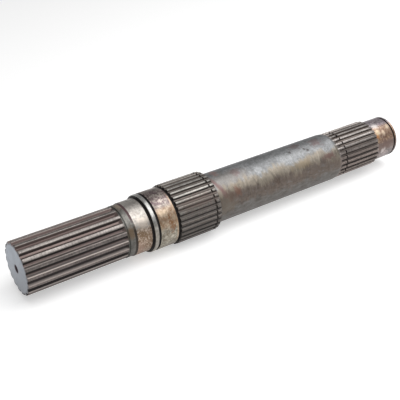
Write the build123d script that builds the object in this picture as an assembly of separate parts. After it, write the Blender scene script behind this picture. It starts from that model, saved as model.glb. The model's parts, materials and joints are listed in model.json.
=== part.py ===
from build123d import *
from math import cos, pi, radians, sin
import os

# Splined shaft, one turned and toothed piece of steel.
# The axis runs along +X with the coarse drive spline at -X, the shaft lies on its largest
# spline with a tooth gap facing straight down, and the origin is the bottom centre of its box.
# Lengths in mm, angles in degrees. Every section is listed from the drive end to the far end.

# Drive spline, 18 coarse teeth, open at the end face.
DRIVE_TEETH = 18
DRIVE_TIP_DIAMETER = 39.6
DRIVE_TOOTH_DEPTH = 2.0
DRIVE_LENGTH = 77.4
DRIVE_CLOCKING = 3.1
END_CHAMFER = 0.6

# Shallow turned relief where the drive spline cutter runs out, then a plain collar.
RELIEF_WIDTH = 1.1
RELIEF_DEPTH = 0.4
DRIVE_RUN_OUT = 3.2
COLLAR_RISE = 0.2
COLLAR_LENGTH = 4.5

# Seal seat between a short lead-in chamfer and the bearing shoulder.
SEAL_SEAT_DIAMETER = 41.0
SEAL_SEAT_LENGTH = 12.0
LEAD_IN_LENGTH = 1.5
CORNER_RELIEF_WIDTH = 1.6
CORNER_RELIEF_DEPTH = 1.0

# Front bearing seat with a retaining ring groove behind a narrow land.
FRONT_SEAT_DIAMETER = 45.0
FRONT_SEAT_LENGTH = 15.25
FRONT_LAND_LENGTH = 2.9
FRONT_RING_GROOVE_WIDTH = 1.85
FRONT_RING_GROOVE_DEPTH = 1.25
SEAT_CHAMFER = 0.3

# Undercut between the front bearing seat and the hub spline, deeper than the tooth roots.
UNDERCUT_WIDTH = 1.9
UNDERCUT_BELOW_ROOTS = 0.9

# Hub spline, 33 fine teeth, the largest diameter of the shaft.
HUB_TEETH = 33
HUB_TIP_DIAMETER = 47.2
HUB_TOOTH_DEPTH = 1.4
HUB_LENGTH = 36.8
HUB_CLOCKING = 0.0
HUB_GROOVE_WIDTH = 1.2
HUB_GROOVE_OFFSET = 4.0
HUB_END_CHAMFER = 1.2

# Plain body with a short cone down to the gear spline.
BODY_DIAMETER = 40.0
BODY_LENGTH = 122.8
BODY_CONE_LENGTH = 2.0

# Gear spline, 27 fine teeth, with its own ring groove and a cutter run-out at the body side.
GEAR_TEETH = 27
GEAR_TIP_DIAMETER = 39.0
GEAR_TOOTH_DEPTH = 1.8
GEAR_LENGTH = 45.8
GEAR_CLOCKING = 2.35
GEAR_GROOVE_WIDTH = 1.2
GEAR_GROOVE_OFFSET = 7.4
GEAR_RUN_OUT = 5.0
GEAR_END_CHAMFER = 1.0

# Rear bearing seat with a ring groove and a short end land.
REAR_SEAT_DIAMETER = 35.0
REAR_SEAT_LENGTH = 19.2
REAR_RING_GROOVE_WIDTH = 1.6
REAR_RING_GROOVE_DEPTH = 1.0
REAR_LAND_LENGTH = 2.3

# Centre holes in both ends, for turning between centres.
CENTRE_MOUTH_DIAMETER = 5.4
CENTRE_DRILL_DIAMETER = 2.8
CENTRE_DEPTH = 9.0
CENTRE_CONE_ANGLE = 60.0
DRILL_POINT_ANGLE = 118.0

# Tooth form shared by the three splines: shares of one pitch, and the flank pressure angle.
GAP_OPENING_SHARE = 0.635
GAP_FLOOR_SHARE = 0.3
PRESSURE_ANGLE = 30.0

# Clearances: how far a turned relief sits below the tooth roots, and how far cutters overshoot.
ROOT_CLEARANCE = 0.2
CUTTER_OVERSHOOT = 2.0

# Radii that follow from the sizes above.
DRIVE_TIP = DRIVE_TIP_DIAMETER / 2
DRIVE_ROOT = DRIVE_TIP - DRIVE_TOOTH_DEPTH
RELIEF_RADIUS = DRIVE_TIP - RELIEF_DEPTH
COLLAR_RADIUS = DRIVE_TIP + COLLAR_RISE
SEAL_RADIUS = SEAL_SEAT_DIAMETER / 2
FRONT_RADIUS = FRONT_SEAT_DIAMETER / 2
HUB_TIP = HUB_TIP_DIAMETER / 2
HUB_ROOT = HUB_TIP - HUB_TOOTH_DEPTH
HUB_RELIEF = HUB_ROOT - ROOT_CLEARANCE
UNDERCUT_RADIUS = HUB_ROOT - UNDERCUT_BELOW_ROOTS
BODY_RADIUS = BODY_DIAMETER / 2
GEAR_TIP = GEAR_TIP_DIAMETER / 2
GEAR_ROOT = GEAR_TIP - GEAR_TOOTH_DEPTH
GEAR_RELIEF = GEAR_ROOT - ROOT_CLEARANCE
REAR_RADIUS = REAR_SEAT_DIAMETER / 2

# Stations along the axis, measured from the drive end face.
RELIEF_END = DRIVE_LENGTH + RELIEF_WIDTH
LEAD_IN_START = RELIEF_END + COLLAR_LENGTH
SEAL_START = LEAD_IN_START + LEAD_IN_LENGTH
SEAL_END = SEAL_START + SEAL_SEAT_LENGTH
SHOULDER = SEAL_END + CORNER_RELIEF_WIDTH
FRONT_LAND_END = SHOULDER + FRONT_LAND_LENGTH
FRONT_START = FRONT_LAND_END + FRONT_RING_GROOVE_WIDTH
FRONT_END = FRONT_START + FRONT_SEAT_LENGTH
HUB_START = FRONT_END + UNDERCUT_WIDTH
HUB_END = HUB_START + HUB_LENGTH
BODY_END = HUB_END + BODY_LENGTH
GEAR_START = BODY_END + BODY_CONE_LENGTH
GEAR_END = GEAR_START + GEAR_LENGTH
REAR_END = GEAR_END + REAR_SEAT_LENGTH
REAR_LAND_START = REAR_END + REAR_RING_GROOVE_WIDTH
SHAFT_LENGTH = REAR_LAND_START + REAR_LAND_LENGTH

# The shaft rests on the two hub teeth either side of the gap that faces down.
HUB_GAP_HALF_ANGLE = GAP_OPENING_SHARE * 180 / HUB_TEETH
AXIS_HEIGHT = HUB_TIP * cos(radians(HUB_GAP_HALF_ANGLE))


def drive_end_outline():
    """Half outline from the drive end face to the bearing shoulder."""
    corner_radius = SEAL_RADIUS - CORNER_RELIEF_DEPTH
    return [
        (0, DRIVE_TIP - END_CHAMFER),
        (END_CHAMFER, DRIVE_TIP),
        (DRIVE_LENGTH, DRIVE_TIP),
        (DRIVE_LENGTH, RELIEF_RADIUS),
        (RELIEF_END, RELIEF_RADIUS),
        (RELIEF_END, COLLAR_RADIUS),
        (LEAD_IN_START, COLLAR_RADIUS),
        (SEAL_START, SEAL_RADIUS),
        (SEAL_END, SEAL_RADIUS),
        (SEAL_END, corner_radius),
        (SHOULDER, corner_radius),
    ]


def front_seat_outline():
    """Half outline of the narrow land, its ring groove and the front bearing seat."""
    groove_radius = FRONT_RADIUS - FRONT_RING_GROOVE_DEPTH
    return [
        (SHOULDER, FRONT_RADIUS - SEAT_CHAMFER),
        (SHOULDER + SEAT_CHAMFER, FRONT_RADIUS),
        (FRONT_LAND_END, FRONT_RADIUS),
        (FRONT_LAND_END, groove_radius),
        (FRONT_START, groove_radius),
        (FRONT_START, FRONT_RADIUS),
        (FRONT_END - SEAT_CHAMFER, FRONT_RADIUS),
        (FRONT_END, FRONT_RADIUS - SEAT_CHAMFER),
        (FRONT_END, UNDERCUT_RADIUS),
        (HUB_START, UNDERCUT_RADIUS),
    ]


def hub_outline():
    """Half outline of the hub spline blank with its ring groove and end chamfers."""
    groove_start = HUB_END - HUB_GROOVE_OFFSET - HUB_GROOVE_WIDTH
    groove_end = groove_start + HUB_GROOVE_WIDTH
    return [
        (HUB_START, HUB_TIP - SEAT_CHAMFER),
        (HUB_START + SEAT_CHAMFER, HUB_TIP),
        (groove_start, HUB_TIP),
        (groove_start, HUB_RELIEF),
        (groove_end, HUB_RELIEF),
        (groove_end, HUB_TIP),
        (HUB_END - HUB_END_CHAMFER, HUB_TIP),
        (HUB_END, HUB_TIP - HUB_END_CHAMFER),
        (HUB_END, BODY_RADIUS),
    ]


def gear_outline():
    """Half outline of the body end and the gear spline blank."""
    groove_start = GEAR_START + GEAR_GROOVE_OFFSET
    groove_end = groove_start + GEAR_GROOVE_WIDTH
    return [
        (BODY_END, BODY_RADIUS),
        (GEAR_START, GEAR_TIP),
        (groove_start, GEAR_TIP),
        (groove_start, GEAR_RELIEF),
        (groove_end, GEAR_RELIEF),
        (groove_end, GEAR_TIP),
        (GEAR_END - GEAR_END_CHAMFER, GEAR_TIP),
        (GEAR_END, GEAR_TIP - GEAR_END_CHAMFER),
        (GEAR_END, REAR_RADIUS),
    ]


def rear_seat_outline():
    """Half outline of the rear bearing seat, its ring groove and the end land."""
    groove_radius = REAR_RADIUS - REAR_RING_GROOVE_DEPTH
    return [
        (REAR_END, REAR_RADIUS),
        (REAR_END, groove_radius),
        (REAR_LAND_START, groove_radius),
        (REAR_LAND_START, REAR_RADIUS),
        (SHAFT_LENGTH - END_CHAMFER, REAR_RADIUS),
        (SHAFT_LENGTH, REAR_RADIUS - END_CHAMFER),
    ]


def turned_blank():
    """The whole shaft as it leaves the lathe, before any teeth are cut."""
    outline = [(0, 0)]
    outline += drive_end_outline()
    outline += front_seat_outline()
    outline += hub_outline()
    outline += gear_outline()
    outline += rear_seat_outline()
    outline += [(SHAFT_LENGTH, 0)]
    half_section = make_face(Polyline(*outline, close=True))
    return revolve(half_section, Axis.X)


def flank_middle(root_point, tip_point, pitch_radius):
    """Middle point of a tooth flank, bowed into the gap as an involute flank is."""
    across = tip_point[0] - root_point[0]
    along = tip_point[1] - root_point[1]
    chord = (across**2 + along**2) ** 0.5
    bow = chord**2 / (8 * pitch_radius * sin(radians(PRESSURE_ANGLE)))
    side = 1 if tip_point[0] > 0 else -1
    middle_across = (root_point[0] + tip_point[0]) / 2
    middle_along = (root_point[1] + tip_point[1]) / 2
    return (
        middle_across - side * bow * abs(along) / chord,
        middle_along - bow * abs(across) / chord,
    )


def gap_section(teeth, tip_radius, root_radius):
    """Cross-section of one tooth gap, opening straight down and running past the tips."""
    opening = GAP_OPENING_SHARE * pi / teeth
    floor = GAP_FLOOR_SHARE * pi / teeth
    half_floor = root_radius * sin(floor)
    root_height = -root_radius * cos(floor)
    half_opening = tip_radius * sin(opening)
    tip_height = -tip_radius * cos(opening)
    past_height = -tip_radius - CUTTER_OVERSHOOT
    pitch_radius = (tip_radius + root_radius) / 2
    left_root = (-half_floor, root_height)
    right_root = (half_floor, root_height)
    left_tip = (-half_opening, tip_height)
    right_tip = (half_opening, tip_height)
    outline = [
        Line(left_root, right_root),
        ThreePointArc(right_root, flank_middle(right_root, right_tip, pitch_radius), right_tip),
        Line(right_tip, (half_opening, past_height)),
        Line((half_opening, past_height), (-half_opening, past_height)),
        Line((-half_opening, past_height), left_tip),
        ThreePointArc(left_tip, flank_middle(left_root, left_tip, pitch_radius), left_root),
    ]
    return make_face(Wire(outline))


def gap_cutter(teeth, tip_radius, root_radius, start, end):
    """One tooth gap as a solid, from one station along the axis to another."""
    section = gap_section(teeth, tip_radius, root_radius)
    station = Plane(origin=(start, 0, 0), x_dir=(0, 1, 0), z_dir=(1, 0, 0))
    return extrude(station * section, amount=end - start, dir=(1, 0, 0))


def ring_of_cutters(cutter, teeth, clocking):
    """The same gap repeated around the axis, the first one turned by the clocking angle."""
    step = 360 / teeth
    return [Rot(X=index * step - clocking) * cutter for index in range(teeth)]


def lifting_envelope(deep, lifted, far_station):
    """Turned envelope over a cone, which lifts a cutter from its full depth out of the steel."""
    slope = (lifted[0] - deep[0]) / (lifted[1] - deep[1])
    outer = lifted[1] + 2 * CUTTER_OVERSHOOT
    inner = deep[1] - CUTTER_OVERSHOOT
    outline = [
        (deep[0] + slope * (outer - deep[1]), outer),
        (deep[0] + slope * (inner - deep[1]), inner),
        (far_station, inner),
        (far_station, outer),
    ]
    return revolve(make_face(Polyline(*outline, close=True)), Axis.X)


def drive_gaps():
    """Gaps of the drive spline, open at the end face and running out under the relief."""
    end = RELIEF_END + CUTTER_OVERSHOOT
    straight = gap_cutter(DRIVE_TEETH, DRIVE_TIP, DRIVE_ROOT, -CUTTER_OVERSHOOT, end)
    deep = (RELIEF_END - DRIVE_RUN_OUT, DRIVE_ROOT)
    lifted = (RELIEF_END, COLLAR_RADIUS)
    cutter = straight & lifting_envelope(deep, lifted, -2 * CUTTER_OVERSHOOT)
    return ring_of_cutters(cutter, DRIVE_TEETH, DRIVE_CLOCKING)


def hub_gaps():
    """Gaps of the hub spline, from the undercut out over the body."""
    start = HUB_START - UNDERCUT_WIDTH / 2
    end = HUB_END + CUTTER_OVERSHOOT
    cutter = gap_cutter(HUB_TEETH, HUB_TIP, HUB_ROOT, start, end)
    return ring_of_cutters(cutter, HUB_TEETH, HUB_CLOCKING)


def gear_gaps():
    """Gaps of the gear spline, rising out of the steel at the body side."""
    start = GEAR_START - GEAR_RUN_OUT - CUTTER_OVERSHOOT
    end = GEAR_END + CUTTER_OVERSHOOT
    straight = gap_cutter(GEAR_TEETH, GEAR_TIP, GEAR_ROOT, start, end)
    deep = (GEAR_START + GEAR_RUN_OUT, GEAR_ROOT)
    lifted = (GEAR_START, GEAR_TIP)
    cutter = straight & lifting_envelope(deep, lifted, GEAR_END + 2 * CUTTER_OVERSHOOT)
    return ring_of_cutters(cutter, GEAR_TEETH, GEAR_CLOCKING)


def centre_hole():
    """Centre drilling on the drive end: a bearing cone, a pilot drill and its point."""
    mouth = CENTRE_MOUTH_DIAMETER / 2
    drill = CENTRE_DRILL_DIAMETER / 2
    cone_length = (mouth - drill) / sin(radians(CENTRE_CONE_ANGLE / 2))
    cone_length *= cos(radians(CENTRE_CONE_ANGLE / 2))
    point_length = drill * cos(radians(DRILL_POINT_ANGLE / 2)) / sin(radians(DRILL_POINT_ANGLE / 2))
    outline = [
        (0, 0),
        (0, mouth),
        (cone_length, drill),
        (CENTRE_DEPTH, drill),
        (CENTRE_DEPTH + point_length, 0),
    ]
    return revolve(make_face(Polyline(*outline, close=True)), Axis.X)


def shaft():
    """The finished shaft on its own axis, drive end face at zero."""
    piece = turned_blank()
    piece = piece - drive_gaps()
    piece = piece - hub_gaps()
    piece = piece - gear_gaps()
    near_hole = centre_hole()
    far_hole = Pos(SHAFT_LENGTH, 0, 0) * Rot(Z=180) * centre_hole()
    return piece - [near_hole, far_hole]


def main():
    os.makedirs("parts", exist_ok=True)
    placed = Pos(-SHAFT_LENGTH / 2, 0, AXIS_HEIGHT) * shaft()
    placed.label = "shaft"
    export_step(placed, "parts/shaft.step")


main()
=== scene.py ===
import json
import math
from collections import namedtuple

import bmesh
import bpy
from mathutils import Euler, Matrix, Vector, noise


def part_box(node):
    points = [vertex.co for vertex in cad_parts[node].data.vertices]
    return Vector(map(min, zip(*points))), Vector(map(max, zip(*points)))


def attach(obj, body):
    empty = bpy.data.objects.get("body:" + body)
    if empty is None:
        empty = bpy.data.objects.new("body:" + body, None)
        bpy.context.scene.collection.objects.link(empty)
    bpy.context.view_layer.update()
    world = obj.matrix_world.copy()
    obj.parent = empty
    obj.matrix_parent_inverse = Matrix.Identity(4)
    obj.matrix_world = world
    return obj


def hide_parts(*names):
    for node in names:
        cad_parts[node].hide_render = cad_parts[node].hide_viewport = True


# A splined shaft of machined steel, lying on a pale table.
# The shaft is shaped in millimetres along its own axis, drive face at zero, and then
# brought to metres and laid on the table where the frame has it.

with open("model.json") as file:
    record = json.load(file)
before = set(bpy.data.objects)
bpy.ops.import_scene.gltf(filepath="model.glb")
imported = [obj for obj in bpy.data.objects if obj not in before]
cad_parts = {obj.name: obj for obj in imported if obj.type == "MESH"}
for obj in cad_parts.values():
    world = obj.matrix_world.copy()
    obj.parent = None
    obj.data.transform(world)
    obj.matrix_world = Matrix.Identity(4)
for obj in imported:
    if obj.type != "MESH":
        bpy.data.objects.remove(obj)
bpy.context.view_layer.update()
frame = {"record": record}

MM = 0.001
SHAFT_LOW, SHAFT_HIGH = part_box("shaft")
MOUNTS = {mount["name"]: mount for mount in frame["record"]["mounts"]}
AXIS_HEIGHT = MOUNTS["seal_seat"]["pos_m"][2]
DRIVE_FACE = Vector((SHAFT_LOW[0], 0, AXIS_HEIGHT))

# Splines: number of teeth, radii over the tips and at the roots, and how far the teeth are
# turned from a gap that faces straight down.
Spline = namedtuple("Spline", "teeth tip root clocking")
DRIVE = Spline(18, 19.8, 17.8, 3.1)
HUB = Spline(33, 23.6, 22.2, 0.0)
GEAR = Spline(27, 19.5, 17.7, 2.35)
# The gaps open wider here than in the plain part, since use has worn the flanks back.
GAP_OPENING_SHARE = 0.67
GAP_FLOOR_SHARE = 0.29
ROOT_CLEARANCE = 0.2

# One ring of points serves every section: 594 is a whole number of points for each tooth of
# all three splines.
RING_POINTS = 594

# Radii of the turned lengths.
RELIEF_RADIUS = DRIVE.tip - 0.4
COLLAR_RADIUS = 20.0
SEAL_RADIUS = MOUNTS["seal_seat"]["dims"]["r_mm"]
CORNER_RADIUS = SEAL_RADIUS - 1.0
FRONT_RADIUS = MOUNTS["front_bearing_seat"]["dims"]["r_mm"]
FRONT_GROOVE_RADIUS = FRONT_RADIUS - 1.25
UNDERCUT_RADIUS = HUB.root - 0.9
BODY_RADIUS = 20.0
REAR_RADIUS = MOUNTS["rear_bearing_seat"]["dims"]["r_mm"]
REAR_GROOVE_RADIUS = REAR_RADIUS - 1.0

# Stations along the axis, from the drive face.
DRIVE_END = 77.4
RELIEF_END = 78.5
LEAD_IN_START = 83.0
SEAL_START = 84.5
SEAL_END = 96.5
SHOULDER = 98.1
FRONT_LAND_END = 101.0
FRONT_START = 102.85
FRONT_END = 118.1
HUB_START = 120.0
HUB_GROOVE_START = 151.6
HUB_GROOVE_END = 152.8
HUB_END = 156.8
BODY_END = 279.6
GEAR_START = 281.6
GEAR_GROOVE_START = 289.0
GEAR_GROOVE_END = 290.2
GEAR_END = 327.4
REAR_END = 346.6
REAR_LAND_START = 348.2
SHAFT_END = (SHAFT_HIGH[0] - SHAFT_LOW[0]) / MM

END_CHAMFER = 0.6
SEAT_CHAMFER = 0.3
HUB_END_CHAMFER = 1.2
GEAR_END_CHAMFER = 1.0
DRIVE_RUN_OUT = 3.2
GEAR_RUN_OUT = 5.0
CENTRE_MOUTH = 2.7
CENTRE_DRILL = 1.4
CENTRE_CONE_DEPTH = 2.25
CENTRE_DEPTH = 9.0
CENTRE_POINT_DEPTH = 9.85

# How the real edges have softened, and how uneven years of use have left the steel.
TURNED_EDGE_ROUND = 0.18
TOOTH_EDGE_ROUND = 0.32
ROOT_FILLET = 0.45
TIP_WEAR = 0.16
SURFACE_WEAR = 0.03

# The shaft's front generator, which faces the viewer, measured from straight down.
FRONT_GENERATOR = math.radians(123.15)


def between(start, end, share):
    """Point part of the way from one point to another."""
    return tuple(a + (b - a) * share for a, b in zip(start, end))


def rounded(corners, radius, steps):
    """The same outline with each inner corner replaced by a short curve of a few points."""
    outline = [corners[0]]
    for before, corner, after in zip(corners, corners[1:], corners[2:]):
        reach_in = min(radius / max(math.dist(before, corner), 1e-6), 0.45)
        reach_out = min(radius / max(math.dist(corner, after), 1e-6), 0.45)
        start = between(corner, before, reach_in)
        end = between(corner, after, reach_out)
        for step in range(steps):
            share = step / (steps - 1)
            outline.append(between(between(start, corner, share), between(corner, end, share), share))
    outline.append(corners[-1])
    return outline


def half_tooth(spline):
    """Section from the middle of a gap to the middle of the next tooth, as (angle, radius)."""
    pitch = 2 * math.pi / spline.teeth
    floor = GAP_FLOOR_SHARE * pitch / 2
    opening = GAP_OPENING_SHARE * pitch / 2
    points = RING_POINTS // spline.teeth
    inner_points = (points - 1) // 2
    steps = 4 if inner_points > 12 else 3
    land_points = (inner_points - 2 * steps) // 3
    flank_points = inner_points - 2 * steps - 2 * land_points

    def at(angle, radius):
        return (radius * math.sin(angle), radius * math.cos(angle))

    root = at(floor, spline.root)
    tip = at(opening, spline.tip)
    middle = at(pitch / 2, spline.tip)
    fillet = rounded([(0, spline.root), root, tip], ROOT_FILLET, steps)[1:-1]
    worn_tip = rounded([root, tip, middle], TOOTH_EDGE_ROUND, steps)[1:-1]
    floor_line = [between((0, spline.root), fillet[0], (k + 1) / (land_points + 1)) for k in range(land_points)]
    flank = [between(fillet[-1], worn_tip[0], (k + 1) / (flank_points + 1)) for k in range(flank_points)]
    bow = 0.035 * math.dist(root, tip)
    flank = [(across - bow, out - bow / 2) for across, out in flank]
    land_start = math.atan2(*worn_tip[-1])
    land = [
        at(land_start + (pitch / 2 - land_start) * (k + 1) / (land_points + 1), spline.tip)
        for k in range(land_points)
    ]
    half = floor_line + fillet + flank + worn_tip + land
    return [(math.atan2(across, out), math.hypot(across, out)) for across, out in half]


def tooth_ring(spline):
    """Angle and radius of every point round a spline's section, from a gap middle."""
    pitch = 2 * math.pi / spline.teeth
    half = half_tooth(spline)
    one = [(0.0, spline.root)] + half
    if (RING_POINTS // spline.teeth) % 2 == 0:
        one.append((pitch / 2, spline.tip))
    one += [(pitch - angle, radius) for angle, radius in reversed(half)]
    start = -math.radians(spline.clocking)
    return [(start + index * pitch + angle, radius) for index in range(spline.teeth) for angle, radius in one]


DRIVE_RING = tooth_ring(DRIVE)
HUB_RING = tooth_ring(HUB)
GEAR_RING = tooth_ring(GEAR)
ROUND_RING = [(2 * math.pi * index / RING_POINTS, 0.0) for index in range(RING_POINTS)]


def evenly(start, end, step):
    """Stations from start to end, both included, about one step apart."""
    count = max(1, round((end - start) / step))
    return [start + (end - start) * index / count for index in range(count + 1)]


def turned(corners, ring):
    """Rings along a turned outline with softened corners: (station, lowest, highest, ring)."""
    return [(x, radius, radius, ring) for x, radius in rounded(corners, TURNED_EDGE_ROUND, 3)]


def drive_rings():
    """Coarse teeth, chamfered at the drive face and running out into the relief."""
    tip = DRIVE.tip
    rings = [(0.0, 0, tip - END_CHAMFER - 0.12, DRIVE_RING)]
    rings.append((0.12, 0, tip - END_CHAMFER + 0.08, DRIVE_RING))
    rings.append((END_CHAMFER, 0, tip - 0.05, DRIVE_RING))
    run_out_start = RELIEF_END - DRIVE_RUN_OUT
    rings += [(x, 0, tip, DRIVE_RING) for x in evenly(1.2, run_out_start, 5.6)]
    for x in (run_out_start + 0.8, run_out_start + 1.4, DRIVE_END - 0.2, DRIVE_END):
        share = (x - run_out_start) / DRIVE_RUN_OUT
        floor = DRIVE.root + (COLLAR_RADIUS - DRIVE.root) * share
        rings.append((x, floor, tip - 0.1 * (x == DRIVE_END), DRIVE_RING))
    return rings


def seat_rings():
    """Relief, collar, seal seat, shoulder, ring groove, bearing seat and undercut."""
    first = [
        (DRIVE_END + 0.05, RELIEF_RADIUS),
        (RELIEF_END, RELIEF_RADIUS),
        (RELIEF_END, COLLAR_RADIUS),
        (LEAD_IN_START, COLLAR_RADIUS),
        (SEAL_START, SEAL_RADIUS),
        ((SEAL_START + SEAL_END) / 2, SEAL_RADIUS),
    ]
    second = [
        ((SEAL_START + SEAL_END) / 2 + 1, SEAL_RADIUS),
        (SEAL_END, SEAL_RADIUS),
        (SEAL_END, CORNER_RADIUS),
        (SHOULDER, CORNER_RADIUS),
        (SHOULDER, FRONT_RADIUS - SEAT_CHAMFER),
        (SHOULDER + SEAT_CHAMFER, FRONT_RADIUS),
        (FRONT_LAND_END, FRONT_RADIUS),
        (FRONT_LAND_END, FRONT_GROOVE_RADIUS),
        (FRONT_START, FRONT_GROOVE_RADIUS),
        (FRONT_START, FRONT_RADIUS),
        ((FRONT_START + FRONT_END) / 2, FRONT_RADIUS),
    ]
    third = [
        ((FRONT_START + FRONT_END) / 2 + 1, FRONT_RADIUS),
        (FRONT_END - SEAT_CHAMFER, FRONT_RADIUS),
        (FRONT_END, FRONT_RADIUS - SEAT_CHAMFER),
        (FRONT_END, UNDERCUT_RADIUS),
        (HUB_START, UNDERCUT_RADIUS),
    ]
    return turned(first, DRIVE_RING) + turned(second, ROUND_RING) + turned(third, HUB_RING)


def hub_rings():
    """Fine teeth of the hub spline with the ring groove cut across them."""
    tip = HUB.tip
    relief = HUB.root - ROOT_CLEARANCE
    rings = [(HUB_START, 0, tip - SEAT_CHAMFER, HUB_RING)]
    rings += [(x, 0, tip, HUB_RING) for x in evenly(HUB_START + SEAT_CHAMFER, HUB_GROOVE_START - 0.15, 5.0)]
    rings.append((HUB_GROOVE_START, 0, tip - 0.12, HUB_RING))
    rings.append((HUB_GROOVE_START, relief, relief, HUB_RING))
    rings.append((HUB_GROOVE_END, relief, relief, HUB_RING))
    rings.append((HUB_GROOVE_END, 0, tip - 0.12, HUB_RING))
    rings += [(x, 0, tip, HUB_RING) for x in evenly(HUB_GROOVE_END + 0.15, HUB_END - HUB_END_CHAMFER, 1.4)]
    for share in (0.3, 0.65, 1.0):
        drop = HUB_END_CHAMFER * share**1.4
        rings.append((HUB_END - HUB_END_CHAMFER * (1 - share), 0, tip - drop, HUB_RING))
    return rings


def body_rings():
    """Plain body with its cone down to the gear spline."""
    rings = turned([(HUB_END, BODY_RADIUS), (HUB_END + 0.6, BODY_RADIUS)], HUB_RING)
    middle = evenly(HUB_END + 4, BODY_END - 4, 8.0)
    rings += [(x, BODY_RADIUS, BODY_RADIUS, ROUND_RING) for x in middle]
    rings += turned([(BODY_END - 1.0, BODY_RADIUS), (BODY_END, BODY_RADIUS), (GEAR_START, GEAR.tip)], GEAR_RING)
    return rings


def gear_rings():
    """Fine teeth of the gear spline, run out at the body side and grooved for a ring."""
    tip = GEAR.tip
    relief = GEAR.root - ROOT_CLEARANCE
    rings = []
    for share in (0.04, 0.15, 0.3, 0.5, 0.7, 0.85, 1.0):
        lift = (tip - GEAR.root) * (1 - share)
        rings.append((GEAR_START + GEAR_RUN_OUT * share, GEAR.root + lift, tip, GEAR_RING))
    rings.append((GEAR_GROOVE_START - 0.15, 0, tip, GEAR_RING))
    rings.append((GEAR_GROOVE_START, 0, tip - 0.12, GEAR_RING))
    rings.append((GEAR_GROOVE_START, relief, relief, GEAR_RING))
    rings.append((GEAR_GROOVE_END, relief, relief, GEAR_RING))
    rings.append((GEAR_GROOVE_END, 0, tip - 0.12, GEAR_RING))
    rings += [(x, 0, tip, GEAR_RING) for x in evenly(GEAR_GROOVE_END + 0.15, GEAR_END - GEAR_END_CHAMFER, 5.0)]
    for share in (0.3, 0.65, 1.0):
        drop = GEAR_END_CHAMFER * share**1.4
        rings.append((GEAR_END - GEAR_END_CHAMFER * (1 - share), 0, tip - drop, GEAR_RING))
    return rings


def rear_rings():
    """Rear bearing seat with its ring groove and end land."""
    corners = [
        (GEAR_END, REAR_RADIUS),
        (REAR_END, REAR_RADIUS),
        (REAR_END, REAR_GROOVE_RADIUS),
        (REAR_LAND_START, REAR_GROOVE_RADIUS),
        (REAR_LAND_START, REAR_RADIUS),
        (SHAFT_END - END_CHAMFER, REAR_RADIUS),
        (SHAFT_END, REAR_RADIUS - END_CHAMFER),
    ]
    return turned(corners, GEAR_RING)


def centre_rings(face, inward, ring):
    """Centre hole from its mouth to the foot of the drill point, which is then closed."""
    outline = [
        (face, CENTRE_MOUTH + 0.15),
        (face + inward * 0.15, CENTRE_MOUTH),
        (face + inward * CENTRE_CONE_DEPTH, CENTRE_DRILL),
        (face + inward * CENTRE_DEPTH, CENTRE_DRILL),
        (face + inward * CENTRE_POINT_DEPTH, 0.05),
    ]
    return [(x, radius, radius, ring) for x, radius in outline]


def wear(x, y, z, spline_tip, radius):
    """How far use has worn a point inwards: uneven tips on teeth, faint waves elsewhere."""
    place = Vector((x, y, z))
    wave = 0.5 + 0.5 * noise.noise(place * 0.11)
    chip = max(0.0, noise.noise(place * Vector((0.16, 0.45, 0.45))) - 0.18)
    near_tip = max(0.0, 1 - abs(spline_tip - radius) / 0.35)
    return SURFACE_WEAR * wave + TIP_WEAR * chip * near_tip


def lay_ring(verts, place, station, lowest, highest, ring):
    """Brings one loop of points to its station and to its section there."""
    tip = max(radius for _, radius in ring)
    for vert in verts:
        angle, radius = ring[vert[place]]
        radius = min(max(radius, lowest), highest)
        y = radius * math.sin(angle)
        z = -radius * math.cos(angle)
        scale = 1 - wear(station, y, z, tip, radius) / radius
        vert.co = (station, y * scale, z * scale)


def zone_at(station, radius):
    """Index of the finish that a face takes, from where it lies along the shaft."""
    for index, (name, end) in enumerate(ZONES):
        if station < end and radius > CENTRE_MOUTH - 0.02:
            return index
    return len(ZONES) - 1


# Finishes from the drive face to the far end, each with the station where it stops.
ZONES = [
    ("drive_face", 0.06),
    ("drive_teeth", DRIVE_END + 0.01),
    ("relief_groove", RELIEF_END + 0.01),
    ("collar", SEAL_START),
    ("seal_seat", SEAL_END + 0.01),
    ("corner_groove", SHOULDER + 0.01),
    ("shoulder_land", FRONT_LAND_END + 0.01),
    ("ring_groove", FRONT_START + 0.01),
    ("front_seat", FRONT_END + 0.01),
    ("undercut", HUB_START + 0.01),
    ("hub_teeth", HUB_END + 0.01),
    ("body", GEAR_START + 0.01),
    ("gear_teeth", GEAR_END + 0.01),
    ("rear_seat", REAR_END + 0.01),
    ("rear_groove", REAR_LAND_START + 0.01),
    ("rear_land", SHAFT_END - 0.02),
    ("rear_face", SHAFT_END + 1),
    ("centre_hole", SHAFT_END + 1),
]


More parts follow.
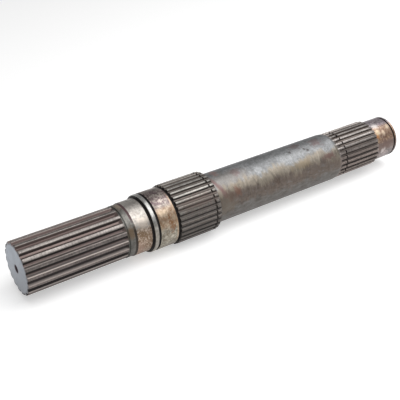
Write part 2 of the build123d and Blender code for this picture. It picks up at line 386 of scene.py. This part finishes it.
def make_shaft():
    """The whole shaft as one closed skin, drawn from section to section along its axis."""
    rings = [ring for ring in reversed(centre_rings(0.0, 1, DRIVE_RING))]
    rings += drive_rings() + seat_rings() + hub_rings() + body_rings() + gear_rings() + rear_rings()
    rings += centre_rings(SHAFT_END, -1, GEAR_RING)
    bm = bmesh.new()
    place = bm.verts.layers.int.new("place")
    loop = bmesh.ops.create_circle(bm, segments=RING_POINTS, radius=1.0)["verts"]
    for index, vert in enumerate(loop):
        vert[place] = index
    lay_ring(loop, place, *rings[0])
    first = loop
    edges = bm.edges[:]
    for ring in rings[1:]:
        grown = bmesh.ops.extrude_edge_only(bm, edges=edges)["geom"]
        loop = [part for part in grown if isinstance(part, bmesh.types.BMVert)]
        ends = set(loop)
        edges = [
            part for part in grown
            if isinstance(part, bmesh.types.BMEdge) and part.verts[0] in ends and part.verts[1] in ends
        ]
        lay_ring(loop, place, *ring)
    for last in (first, loop):
        middle = Vector((last[0].co.x, 0, 0))
        bmesh.ops.pointmerge(bm, verts=last, merge_co=middle)
    bmesh.ops.remove_doubles(bm, verts=bm.verts[:], dist=0.002)
    bmesh.ops.recalc_face_normals(bm, faces=bm.faces[:])
    for face in bm.faces:
        centre = face.calc_center_median()
        face.smooth = True
        face.material_index = zone_at(centre.x, math.hypot(centre.y, centre.z))
    bmesh.ops.scale(bm, vec=(MM, MM, MM), verts=bm.verts[:])
    bmesh.ops.translate(bm, vec=DRIVE_FACE, verts=bm.verts[:])
    mesh = bpy.data.meshes.new("worn_shaft")
    bm.to_mesh(mesh)
    bm.free()
    mesh.set_sharp_from_angle(angle=math.radians(32))
    shaft = bpy.data.objects.new("worn_shaft", mesh)
    bpy.context.scene.collection.objects.link(shaft)
    return shaft


class Finish:
    """A steel finish under construction: a base coat, and layers laid over it by masks."""

    def __init__(self, name, colour, roughness, metallic):
        self.material = bpy.data.materials.new(name)
        self.material.use_nodes = True
        self.tree = self.material.node_tree
        self.shader = self.tree.nodes["Principled BSDF"]
        self.colour, self.roughness, self.metallic = colour, roughness, metallic
        where = self.node("ShaderNodeTexCoord")
        turn = self.node("ShaderNodeMapping")
        turn.vector_type = "TEXTURE"
        turn.inputs["Location"].default_value = DRIVE_FACE
        turn.inputs["Rotation"].default_value = (math.radians(270) - FRONT_GENERATOR, 0, 0)
        turn.inputs["Scale"].default_value = (MM, MM, MM)
        self.join(where.outputs["Object"], turn.inputs["Vector"])
        self.place = turn.outputs["Vector"]
        parts = self.node("ShaderNodeSeparateXYZ")
        self.join(self.place, parts.inputs[0])
        self.along, self.front, self.down = parts.outputs
        self.facing = self.node("ShaderNodeSeparateXYZ").outputs["Z"]
        self.join(where.outputs["Normal"], self.facing.node.inputs[0])
        self.angle = self.math("MULTIPLY", self.math("ARCTAN2", self.down, self.front), 180 / math.pi)
        across = self.math("MULTIPLY", self.front, self.front)
        self.radius = self.math("SQRT", self.math("MULTIPLY_ADD", self.down, self.down, across))
        rise = self.math("MULTIPLY_ADD", self.down, -math.cos(FRONT_GENERATOR - math.pi / 2), 0.0)
        rise = self.math("MULTIPLY_ADD", self.front, -math.cos(FRONT_GENERATOR), rise)
        self.lie = self.math("DIVIDE", rise, self.radius)
        self.tilt = self.math("SUBTRACT", self.facing, self.lie)

    def node(self, kind):
        return self.tree.nodes.new(kind)

    def join(self, source, socket):
        """Feeds a socket from another node's socket, or sets it to a plain value."""
        if isinstance(source, bpy.types.NodeSocket):
            self.tree.links.new(source, socket)
        else:
            socket.default_value = source

    def math(self, operation, *values):
        node = self.node("ShaderNodeMath")
        node.operation = operation
        for value, socket in zip(values, node.inputs):
            self.join(value, socket)
        return node.outputs[0]

    def both(self, *masks):
        """Where all the masks are."""
        result = masks[0]
        for mask in masks[1:]:
            result = self.math("MULTIPLY", result, mask)
        return result

    def noise(self, stretch, detail=4.0, roughness=0.55, distortion=0.0, shift=0.0):
        """Noise from 0 to 1 over shaft millimetres, squeezed by a factor for each direction."""
        mapping = self.node("ShaderNodeMapping")
        mapping.inputs["Scale"].default_value = stretch
        mapping.inputs["Location"].default_value = (shift, shift * 1.7, shift * 0.6)
        self.join(self.place, mapping.inputs["Vector"])
        node = self.node("ShaderNodeTexNoise")
        node.inputs["Scale"].default_value = 1.0
        node.inputs["Detail"].default_value = detail
        node.inputs["Roughness"].default_value = roughness
        node.inputs["Distortion"].default_value = distortion
        self.join(mapping.outputs[0], node.inputs["Vector"])
        return node.outputs["Fac"]

    def step(self, value, low, high):
        """Smooth rise from 0 at low to 1 at high, or a fall where low is above high."""
        node = self.node("ShaderNodeMapRange")
        node.interpolation_type = "SMOOTHSTEP"
        self.join(value, node.inputs["Value"])
        rising = low < high
        self.join(min(low, high), node.inputs["From Min"])
        self.join(max(low, high), node.inputs["From Max"])
        self.join(0.0 if rising else 1.0, node.inputs["To Min"])
        self.join(1.0 if rising else 0.0, node.inputs["To Max"])
        return node.outputs["Result"]

    def band(self, value, low, high, soft):
        """One between low and high, falling to zero over a soft edge."""
        return self.both(self.step(value, low - soft, low + soft), self.step(value, high + soft, high - soft))

    def patch(self, station, angle, long, wide, ragged=0.5, grain=0.45, shift=0.0):
        """Ragged stain about a station and an angle, with its half length and half width in degrees."""
        dx = self.math("DIVIDE", self.math("SUBTRACT", self.along, station), long)
        da = self.math("DIVIDE", self.math("SUBTRACT", self.angle, angle), wide)
        spread = self.math("SQRT", self.math("MULTIPLY_ADD", dx, dx, self.math("MULTIPLY", da, da)))
        rough = self.noise((grain, grain * 0.7, grain * 0.7), detail=6.0, roughness=0.7, shift=shift)
        uneven = self.math("MULTIPLY_ADD", self.math("SUBTRACT", rough, 0.5), 9 * ragged, spread)
        return self.step(uneven, 1.3, 0.35)

    def across_gap(self, spline):
        """Place across the nearest gap, in tooth pitches: zero in its middle, rising as the angle does."""
        pitch = 360 / spline.teeth
        first_gap = math.degrees(FRONT_GENERATOR) - spline.clocking
        turns = self.math("MULTIPLY_ADD", self.angle, 1 / pitch, 0.5 - first_gap / pitch)
        return self.math("SUBTRACT", self.math("FRACT", turns), 0.5)

    def mix_value(self, share, first, second):
        node = self.node("ShaderNodeMix")
        self.join(share, node.inputs["Factor"])
        self.join(first, node.inputs["A"])
        self.join(second, node.inputs["B"])
        return node.outputs["Result"]

    def layer(self, mask, colour=None, roughness=None, metallic=None, strength=1.0):
        """Lays a colour, a roughness and a metallic share over what is there, by a mask."""
        if strength != 1.0:
            mask = self.math("MULTIPLY", mask, strength)
        if colour is not None:
            node = self.node("ShaderNodeMix")
            node.data_type = "RGBA"
            self.join(mask, node.inputs["Factor"])
            self.join(self.colour, node.inputs[6])
            self.join(colour, node.inputs[7])
            self.colour = node.outputs[2]
        if roughness is not None:
            self.roughness = self.mix_value(mask, self.roughness, roughness)
        if metallic is not None:
            self.metallic = self.mix_value(mask, self.metallic, metallic)

    def shade(self, mask, factor, strength=1.0):
        """Darkens or lightens the colour by a factor where the mask is."""
        self.colour = self.scaled(self.colour, self.mix_value(self.math("MULTIPLY", mask, strength), 1.0, factor))

    def scaled(self, colour, factor):
        node = self.node("ShaderNodeVectorMath")
        node.operation = "SCALE"
        self.join(colour[:3] if isinstance(colour, tuple) else colour, node.inputs[0])
        self.join(factor, node.inputs["Scale"])
        return node.outputs[0]

    def close(self, height=None, depth=0.05):
        """Joins the coats to the shader, with a bump of so many millimetres, and returns the material."""
        self.join(self.colour, self.shader.inputs["Base Color"])
        self.join(self.roughness, self.shader.inputs["Roughness"])
        self.join(self.metallic, self.shader.inputs["Metallic"])
        if height is not None:
            node = self.node("ShaderNodeBump")
            node.inputs["Distance"].default_value = depth * MM
            node.inputs["Strength"].default_value = 1.0
            self.join(height, node.inputs["Height"])
            self.join(node.outputs["Normal"], self.shader.inputs["Normal"])
        return self.material


def tone(red, green, blue):
    """Colour from the eye's 0 to 255 scale to the linear scale that materials take."""
    def linear(value):
        value /= 255
        return value / 12.92 if value <= 0.04045 else ((value + 0.055) / 1.055) ** 2.4
    return (linear(red), linear(green), linear(blue), 1.0)


def turned_steel(name, upper, lower, roughness, contrast=0.5, turn=(0.62, 0.05)):
    """Turned or ground steel in fine rings and clouds: clean above, and below a darker colour that is painted shade
    together with a tinted film of oil and dirt.
    """
    finish = Finish(name, upper, roughness, 1.0)
    edge = finish.noise((0.12, 0.3, 0.3), detail=4.0, shift=15.0)
    uneven = finish.math("MULTIPLY_ADD", finish.math("SUBTRACT", edge, 0.5), 0.6, finish.lie)
    # Painted shade: the lower colour darkens the lower half, and carries the tint of the film there.
    finish.layer(finish.step(uneven, *turn), lower, roughness + 0.06)
    finish.rings = finish.noise((2.0, 0.08, 0.08), detail=3.0)
    finish.clouds = finish.noise((0.12, 0.2, 0.2), detail=7.0, roughness=0.7)
    finish.grain = finish.noise((0.55, 0.5, 0.5), detail=6.0, roughness=0.75, shift=21.0)
    finish.shade(finish.step(finish.rings, 0.42, 0.68), 0.72, strength=contrast)
    finish.shade(finish.step(finish.clouds, 0.45, 0.6), 1.3, strength=contrast)
    finish.shade(finish.step(finish.clouds, 0.52, 0.38), 0.62, strength=contrast)
    finish.shade(finish.step(finish.grain, 0.48, 0.6), 1.4, strength=contrast)
    finish.shade(finish.step(finish.grain, 0.5, 0.4), 0.55, strength=contrast)
    return finish


def drive_face(name):
    """Flat sawn face with a cool dull skin, painted darker towards its lower side as shade, and dark purple brown
    round the centre hole.
    """
    finish = Finish(name, tone(196, 202, 211), 0.6, 0.3)
    clouds = finish.noise((0.5, 0.12, 0.12), detail=5.0)
    specks = finish.noise((0.9, 0.9, 0.9), detail=3.0, roughness=0.7, shift=9.0)
    finish.layer(finish.step(clouds, 0.4, 0.65), tone(176, 182, 191), strength=0.5)
    # Painted shade: the face darkens towards its lower side.
    finish.layer(finish.step(finish.down, -16.0, 16.0), tone(160, 163, 169), strength=0.8)
    finish.layer(finish.step(specks, 0.63, 0.7), tone(120, 110, 104), strength=0.7)
    finish.layer(finish.step(finish.radius, 16.8, 18.4), tone(112, 108, 110), strength=0.6)
    finish.layer(finish.step(finish.radius, 3.8, 2.8), tone(92, 78, 84), 0.7, 0.2, strength=0.8)
    return finish.close(clouds, 0.03)


def pitch_height(spline):
    """Depth of the teeth against their width, with the coarse spline as one."""
    coarse = (DRIVE.tip - DRIVE.root) * DRIVE.teeth / DRIVE.tip
    return (spline.tip - spline.root) * spline.teeth / spline.tip / coarse


def toothed_steel(name, spline, land, land_in_shade, floor, flank, edge, gap_shadow_strength=0.9, worn=0.08):
    """Teeth cut along the shaft: worn lands with cutter ribs and filmed floors, with painted light and shade: darker
    lands below, lit up-facing flanks, black down-facing flanks and gap sides, and bright tooth edges.
    """
    # Colours in order: land, land in painted shade, gap floor, painted shadow for flanks and gap sides, painted
    # highlight for tooth edges.
    finish = Finish(name, land, 0.38, 0.95)
    # Painted shade: lands in the lower half take the darker land colour.
    finish.layer(finish.step(finish.lie, 0.72, 0.1), land_in_shade, 0.45)
    slant = finish.noise((1.1, 0.28, 0.28), detail=3.0, roughness=0.65, distortion=0.4)
    clouds = finish.noise((0.06, 0.3, 0.3), detail=6.0, roughness=0.65)
    finish.shade(finish.step(clouds, 0.44, 0.62), 1.3, strength=0.7)
    finish.shade(finish.step(clouds, 0.5, 0.36), 0.7, strength=0.6)
    finish.shade(finish.step(slant, 0.46, 0.64), 0.62, strength=0.7)
    finish.shade(finish.step(slant, 0.5, 0.36), 1.3, strength=0.5)
    streaks = finish.noise((0.05, 0.8, 0.8), detail=4.0, shift=7.0)
    depth = spline.tip - spline.root
    inside = finish.step(finish.radius, spline.tip - worn * depth, spline.tip - (worn + 0.22) * depth)
    finish.layer(inside, floor, 0.5, 0.8, strength=0.85)
    finish.shade(finish.both(inside, finish.step(streaks, 0.45, 0.62)), 1.35, strength=0.6)
    # Painted light and shade: up-facing flanks take the bright land colour, and the land colour in painted shade in
    # the lower half.
    upward = finish.both(inside, finish.step(finish.tilt, 0.15, 0.45))
    finish.layer(upward, land, 0.42, strength=0.85)
    finish.layer(finish.both(upward, finish.step(finish.lie, 0.7, 0.3)), land_in_shade, 0.45, strength=0.8)
    place = finish.across_gap(spline)
    # Painted highlight: a thin bright line on the tooth edges, only below the front generator.
    below = finish.step(finish.angle, 2.0, 14.0)
    finish.layer(finish.both(below, finish.band(place, 0.3, 0.37, 0.03)), edge, 0.4, 0.9, strength=0.9)
    # Painted shadow: the upper side of each gap turns near black, wider the further it lies from the front generator.
    reach = finish.math("MULTIPLY_ADD", finish.math("MAXIMUM", finish.angle, 12.0), 0.0067, -0.053)
    hidden = finish.math("MULTIPLY_ADD", reach, -pitch_height(spline), place)
    gap_shadow = finish.both(inside, finish.step(hidden, 0.0, -0.12), finish.step(finish.lie, 0.75, 0.3))
    finish.layer(gap_shadow, flank, 0.65, 0.3, strength=gap_shadow_strength)
    # Painted shade: down-facing flanks turn near black.
    downward = finish.both(inside, finish.step(finish.tilt, -0.15, -0.45))
    finish.layer(downward, flank, 0.65, 0.3, strength=0.95)
    crown = finish.both(inside, finish.step(finish.lie, 0.8, 0.95))
    finish.layer(crown, floor, 0.5, 0.8, strength=0.6)
    finish.ribs = slant
    return finish


def drive_teeth(name):
    """Coarse teeth, grey on the lands and reddish brown on the gap floors."""
    finish = toothed_steel(
        name, DRIVE, tone(140, 134, 130), tone(106, 98, 95), tone(112, 96, 92), tone(24, 18, 18), tone(172, 162, 156)
    )
    return finish.close(finish.ribs, 0.06)


def hub_teeth(name):
    """Fine teeth of the hub spline, light grey above, and darker and a little browner below, the darkness being
    painted shade.
    """
    finish = toothed_steel(
        name, HUB, tone(152, 149, 144), tone(92, 86, 82), tone(94, 86, 81), tone(26, 23, 22), tone(104, 98, 93), 0.7
    )
    finish.layer(finish.patch(138, -4, 24, 16, ragged=0.3), tone(118, 104, 97), strength=0.6)
    return finish.close(finish.ribs, 0.05)


def gear_teeth(name):
    """Fine teeth of the gear spline, grey brown all over."""
    finish = toothed_steel(
        name, GEAR, tone(154, 148, 144), tone(122, 111, 106), tone(104, 94, 88), tone(30, 25, 23), tone(132, 122, 116),
        gap_shadow_strength=0.75, worn=0.24
    )
    return finish.close(finish.ribs, 0.05)


def collar(name):
    """Plain collar behind the coarse teeth, dull, with an oily brown stain, a purple lead-in, and painted shade in the
    relief groove by the teeth.
    """
    finish = turned_steel(name, tone(120, 118, 114), tone(102, 100, 96), 0.45, 0.45)
    finish.layer(finish.patch(80, 12, 5.5, 14, ragged=0.3), tone(112, 92, 70), 0.6, 0.6, strength=0.8)
    finish.layer(finish.patch(82, -62, 4, 18, ragged=0.4), tone(160, 144, 128), 0.55, 0.7, strength=0.8)
    lead_in = finish.step(finish.along, LEAD_IN_START - 0.4, LEAD_IN_START + 0.2)
    finish.layer(finish.both(lead_in, finish.band(finish.angle, -75, -12, 10)), tone(92, 72, 74), 0.5, 0.6)
    finish.layer(finish.both(lead_in, finish.step(finish.angle, -5, 12)), tone(52, 44, 38), 0.6, 0.4)
    # Painted shade: the relief groove and the first millimetre of the collar are darkened.
    finish.layer(finish.step(finish.along, RELIEF_END + 1.0, RELIEF_END), tone(74, 74, 70), strength=0.6)
    return finish.close(finish.rings, 0.02)


def seal_seat(name):
    """Polished seal seat, bright above with a painted highlight at the front, and mottled with brown rust below."""
    finish = turned_steel(name, tone(179, 174, 168), tone(148, 131, 116), 0.42, 0.42, (0.42, 0.18))
    rust = finish.noise((0.8, 0.8, 0.8), detail=5.0, roughness=0.7, shift=2.0)
    below = finish.step(finish.angle, 4, 14)
    finish.layer(finish.both(below, finish.step(rust, 0.44, 0.58)), tone(116, 92, 70), 0.5, 0.8, strength=0.85)
    finish.layer(finish.both(below, finish.step(rust, 0.46, 0.36)), tone(202, 188, 174), strength=0.85)
    finish.layer(finish.patch(89.5, 17, 4.6, 13, ragged=0.55), tone(118, 96, 74), 0.55, 0.75, strength=0.8)
    finish.layer(finish.patch(87, 62, 4, 22, ragged=0.5, shift=4.0), tone(160, 134, 122), strength=0.5)
    # Painted highlight: a pale patch round the front generator.
    finish.layer(finish.patch(92, 1, 6, 16, ragged=0.5), tone(214, 201, 188), strength=0.6)
    finish.layer(finish.patch(88, -24, 2.4, 14, ragged=0.8, shift=9.0), tone(150, 140, 134), strength=0.45)
    return finish.close(finish.rings, 0.01)


def shoulder_land(name):
    """Narrow bright land between the two dark grooves."""
    finish = turned_steel(name, tone(178, 177, 174), tone(146, 141, 133), 0.36, 0.35)
    return finish.close(finish.rings, 0.01)


def front_seat(name):
    """Ground bearing seat with lilac mottle, orange rust patches and a greenish grey foot."""
    finish = turned_steel(name, tone(160, 150, 143), tone(150, 144, 132), 0.38, 0.8)
    mottle = finish.noise((0.35, 0.35, 0.35), detail=6.0, roughness=0.7, shift=5.0)
    upper = finish.band(finish.angle, -70, -18, 10)
    finish.layer(finish.both(upper, finish.step(mottle, 0.46, 0.56)), tone(110, 93, 97), 0.42, strength=0.85)
    finish.layer(finish.both(upper, finish.step(mottle, 0.46, 0.38)), tone(202, 190, 182), strength=0.7)
    middle = finish.band(finish.angle, -12, 24, 8)
    finish.layer(middle, tone(172, 146, 118), strength=0.6)
    finish.layer(finish.both(middle, finish.step(mottle, 0.46, 0.6)), tone(136, 106, 80), 0.5, 0.85, strength=0.8)
    finish.layer(finish.both(middle, finish.step(mottle, 0.46, 0.38)), tone(214, 192, 164), strength=0.6)
    below = finish.step(finish.angle, 22, 34)
    finish.layer(finish.both(below, finish.step(mottle, 0.48, 0.6)), tone(116, 102, 86), 0.5, 0.8, strength=0.6)
    finish.layer(finish.patch(113, 22, 2.8, 12, ragged=0.8, shift=8.0), tone(128, 86, 52), 0.6, 0.6, strength=0.75)
    finish.layer(finish.patch(108, -4, 4, 9, ragged=0.6), tone(214, 194, 170), strength=0.5)
    edge = finish.band(finish.along, FRONT_END - 1.6, FRONT_END - 0.2, 0.4)
    finish.layer(finish.both(edge, finish.band(finish.angle, -40, 60, 15)), tone(186, 158, 130), strength=0.45)
    return finish.close(finish.rings, 0.01)


def body(name):
    """Plain body: cool grey above, brown haze along the front, purple stains, and a lower half and foot painted darker
    as shade, brownish at first, then grey.
    """
    finish = turned_steel(name, tone(146, 147, 148), tone(104, 102, 100), 0.5, 0.36)
    wide_clouds = finish.noise((0.03, 0.12, 0.12), detail=5.0, roughness=0.6, shift=13.0)
    finish.shade(finish.step(wide_clouds, 0.5, 0.64), 1.2, strength=0.6)
    finish.shade(finish.step(wide_clouds, 0.5, 0.36), 0.8, strength=0.6)
    finish.layer(finish.patch(170, -28, 24, 30, ragged=0.3, grain=0.2), tone(132, 126, 120), strength=0.6)
    haze = finish.noise((0.3, 0.09, 0.09), detail=6.0, roughness=0.7, shift=11.0)
    drift = finish.noise((0.05, 0.03, 0.03), detail=3.0, shift=14.0)
    uneven = finish.math("MULTIPLY_ADD", finish.math("SUBTRACT", haze, 0.5), 55, finish.angle)
    uneven = finish.math("MULTIPLY_ADD", finish.math("SUBTRACT", drift, 0.5), 50, uneven)
    finish.layer(finish.band(uneven, -13, 16, 8), tone(152, 140, 122), strength=0.7)
    # Painted shade with a brown tint: below the front the body turns darker brown, and grey towards the foot.
    finish.layer(finish.step(uneven, 2, 18), tone(112, 99, 90), strength=0.75)
    foot = finish.noise((0.16, 0.3, 0.3), detail=6.0, roughness=0.7, shift=17.0)
    finish.layer(finish.step(uneven, 32, 52), tone(104, 102, 99), strength=0.85)
    finish.layer(finish.both(finish.step(uneven, 12, 36), finish.step(foot, 0.5, 0.62)), tone(122, 120, 118), strength=0.6)
    finish.layer(finish.both(finish.step(uneven, 12, 36), finish.step(foot, 0.48, 0.36)), tone(84, 78, 74), strength=0.6)
    streaks = finish.noise((0.4, 0.12, 0.12), detail=6.0, roughness=0.75, distortion=0.6, shift=6.0)
    bright_side = finish.band(finish.angle, -64, 36, 18)
    brushed = finish.math("MULTIPLY_ADD", finish.band(finish.angle, -14, 16, 10), 0.4, 0.4)
    finish.shade(finish.both(bright_side, brushed, finish.step(streaks, 0.5, 0.62)), 0.66)
    finish.shade(finish.both(bright_side, brushed, finish.step(streaks, 0.48, 0.36)), 1.35)
    purple = tone(122, 94, 92)
    slant = finish.math("MULTIPLY_ADD", finish.angle, -0.14, finish.along)
    slant = finish.math("MULTIPLY_ADD", finish.math("SUBTRACT", haze, 0.5), 6.0, slant)
    red_trail = finish.both(finish.band(slant, 162.5, 165.5, 1.8), finish.band(finish.angle, -75, 8, 12))
    finish.layer(red_trail, purple, 0.5, 0.7, strength=0.85)
    finish.layer(finish.patch(182, -40, 4.5, 13, ragged=0.5, shift=10.0), purple, strength=0.45)
    finish.layer(finish.patch(166, -62, 3.4, 14, ragged=0.5), tone(160, 116, 106), 0.5, 0.7, strength=0.5)
    finish.layer(finish.patch(175.5, 6, 3.0, 13, ragged=0.3, shift=2.0), tone(128, 94, 80), 0.5, 0.8, strength=0.75)
    finish.layer(finish.patch(168, 10, 6.0, 12, ragged=0.5, shift=5.0), tone(116, 96, 88), strength=0.6)
    finish.layer(finish.patch(214, 16, 2.5, 8, ragged=0.5, shift=9.0), tone(92, 78, 70), strength=0.7)
    finish.layer(finish.patch(241, -2, 11, 12, ragged=0.3, shift=3.0), tone(160, 145, 122), strength=0.6)
    finish.layer(finish.patch(270, 2, 6.5, 9, ragged=0.4, shift=1.0), tone(118, 94, 88), 0.5, 0.7, strength=0.85)
    finish.layer(finish.patch(246, -56, 6, 12, ragged=0.5, shift=4.0), purple, strength=0.45)
    finish.layer(finish.patch(266, -46, 6, 16, ragged=0.5, shift=7.0), purple, strength=0.5)
    for station, angle in ((237, -40), (251, -36), (253.5, -30)):
        pit = finish.patch(station, angle, 1.3, 4, ragged=0.3, grain=0.9)
        finish.layer(pit, tone(82, 78, 76), 0.6, 0.4, strength=0.9)
    finish.layer(finish.patch(163, 28, 9, 22, ragged=0.4, shift=12.0), tone(110, 103, 92), 0.55, 0.7, strength=0.5)
    return finish.close(finish.rings, 0.02)


def rear_seat(name):
    """Rear bearing seat, bronze and orange rust over polished steel with a purple grey bloom."""
    finish = turned_steel(name, tone(180, 172, 174), tone(132, 122, 120), 0.38, 0.8)
    mottle = finish.noise((0.4, 0.4, 0.4), detail=6.0, roughness=0.7, shift=3.0)
    front = finish.band(finish.angle, -32, 16, 8)
    finish.layer(finish.band(finish.angle, 12, 42, 7), tone(116, 99, 91), 0.5, 0.9, strength=0.75)
    finish.layer(front, tone(176, 144, 118), 0.4, strength=0.75)
    finish.layer(finish.both(front, finish.step(mottle, 0.46, 0.36)), tone(220, 188, 148), strength=0.7)
    finish.layer(finish.both(front, finish.step(mottle, 0.45, 0.6)), tone(122, 92, 76), 0.5, 0.85, strength=0.85)
    finish.layer(finish.patch(329.5, -2, 2.0, 9, ragged=0.3, shift=6.0), tone(190, 128, 70), 0.5, 0.85, strength=0.7)
    finish.layer(finish.patch(337, 26, 8, 12, ragged=0.5, shift=4.0), tone(112, 92, 86), 0.5, 0.8, strength=0.8)
    top = finish.band(finish.angle, -80, -30, 10)
    finish.layer(finish.both(top, finish.step(mottle, 0.56, 0.44)), tone(150, 132, 142), strength=0.7)
    finish.layer(finish.patch(331, -14, 2.5, 12, ragged=0.3), tone(226, 208, 178), strength=0.7)
    finish.layer(finish.patch(333, -34, 3.5, 11, ragged=0.5, shift=2.0), tone(226, 221, 216), strength=0.7)
    finish.layer(finish.patch(337, -8, 2.4, 9, ragged=0.4, shift=8.0), tone(240, 218, 192), strength=0.7)
    finish.layer(finish.patch(344, -22, 1.8, 10, ragged=0.4, shift=5.0), tone(236, 218, 194), strength=0.7)
    finish.layer(finish.patch(334, 43, 2.4, 9, ragged=0.4, shift=7.0), tone(196, 186, 182), strength=0.7)
    return finish.close(finish.rings, 0.01)


def centre_hole(name):
    """Bottom of the centre drilling, dark purple brown."""
    finish = Finish(name, tone(74, 60, 68), 0.7, 0.2)
    return finish.close(finish.noise((1.0, 1.0, 1.0)), 0.05)


def groove_in_painted_shade(name):
    """Turned groove painted near black as shade, with lighter specks."""
    finish = Finish(name, tone(30, 26, 26), 0.65, 0.2)
    grains = finish.noise((0.8, 0.4, 0.4), detail=4.0)
    finish.layer(finish.step(grains, 0.5, 0.7), tone(52, 44, 38), strength=0.6)
    return finish.close(grains, 0.1)


FINISHES = {
    "drive_face": drive_face,
    "drive_teeth": drive_teeth,
    "relief_groove": collar,
    "collar": collar,
    "seal_seat": seal_seat,
    "corner_groove": groove_in_painted_shade,
    "shoulder_land": shoulder_land,
    "ring_groove": groove_in_painted_shade,
    "front_seat": front_seat,
    "undercut": groove_in_painted_shade,
    "hub_teeth": hub_teeth,
    "body": body,
    "gear_teeth": gear_teeth,
    "rear_seat": rear_seat,
    "rear_groove": groove_in_painted_shade,
    "rear_land": rear_seat,
    "rear_face": drive_face,
    "centre_hole": centre_hole,
}


shaft = make_shaft()
for zone_name, _ in ZONES:
    shaft.data.materials.append(FINISHES[zone_name](zone_name))
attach(shaft, "root")
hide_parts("shaft")


def make_floor():
    """Pale table top that stays white to the eye and keeps the shaft's soft shadow."""
    bm = bmesh.new()
    bmesh.ops.create_circle(bm, cap_ends=True, segments=96, radius=6.0)
    mesh = bpy.data.meshes.new("table_top")
    bm.to_mesh(mesh)
    bm.free()
    table = bpy.data.objects.new("table_top", mesh)
    bpy.context.scene.collection.objects.link(table)
    material = bpy.data.materials.new("pale_table")
    material.use_nodes = True
    tree = material.node_tree
    shader = tree.nodes["Principled BSDF"]
    shader.inputs["Base Color"].default_value = (0.8, 0.8, 0.8, 1)
    shader.inputs["Roughness"].default_value = 0.9
    shader.inputs["Emission Color"].default_value = (1, 1, 1, 1)
    path = tree.nodes.new("ShaderNodeLightPath")
    seen = path.outputs["Is Camera Ray"]
    for ray in ("Is Glossy Ray", "Is Transmission Ray"):
        either = tree.nodes.new("ShaderNodeMath")
        either.operation = "MAXIMUM"
        tree.links.new(seen, either.inputs[0])
        tree.links.new(path.outputs[ray], either.inputs[1])
        seen = either.outputs[0]
    lift = tree.nodes.new("ShaderNodeMath")
    lift.operation = "MULTIPLY"
    lift.inputs[1].default_value = 0.45
    tree.links.new(seen, lift.inputs[0])
    tree.links.new(lift.outputs[0], shader.inputs["Emission Strength"])
    mesh.materials.append(material)


def make_studio():
    """Pale surroundings, and one long soft lamp overhead that runs back beyond the far end."""
    world = bpy.data.worlds.new("studio")
    bpy.context.scene.world = world
    world.use_nodes = True
    background = world.node_tree.nodes["Background"]
    background.inputs["Color"].default_value = (1, 1, 1, 1)
    background.inputs["Strength"].default_value = 0.34
    lamp = bpy.data.lights.new("ceiling_lamp", "AREA")
    lamp.shape = "RECTANGLE"
    lamp.size = 1.6
    lamp.size_y = 1.1
    lamp.energy = 12.5
    holder = bpy.data.objects.new("ceiling_lamp", lamp)
    holder.location = (0.45, -0.38, 0.9)
    holder.rotation_euler = (0, 0, math.radians(20))
    bpy.context.scene.collection.objects.link(holder)


def make_camera():
    """Camera a little above the near end, looking along the shaft."""
    lens = bpy.data.cameras.new("camera")
    lens.sensor_width = 36
    lens.lens = 69.85
    lens.shift_x = -0.00125
    lens.shift_y = 0.00125
    camera = bpy.data.objects.new("camera", lens)
    camera.location = (-0.31191, -0.44263, 0.31265)
    camera.rotation_euler = Euler([math.radians(turn) for turn in (61.407, 2.288, -34.392)])
    bpy.context.scene.collection.objects.link(camera)
    bpy.context.scene.camera = camera


make_floor()
make_studio()
make_camera()
bpy.context.scene.view_settings.view_transform = "Standard"
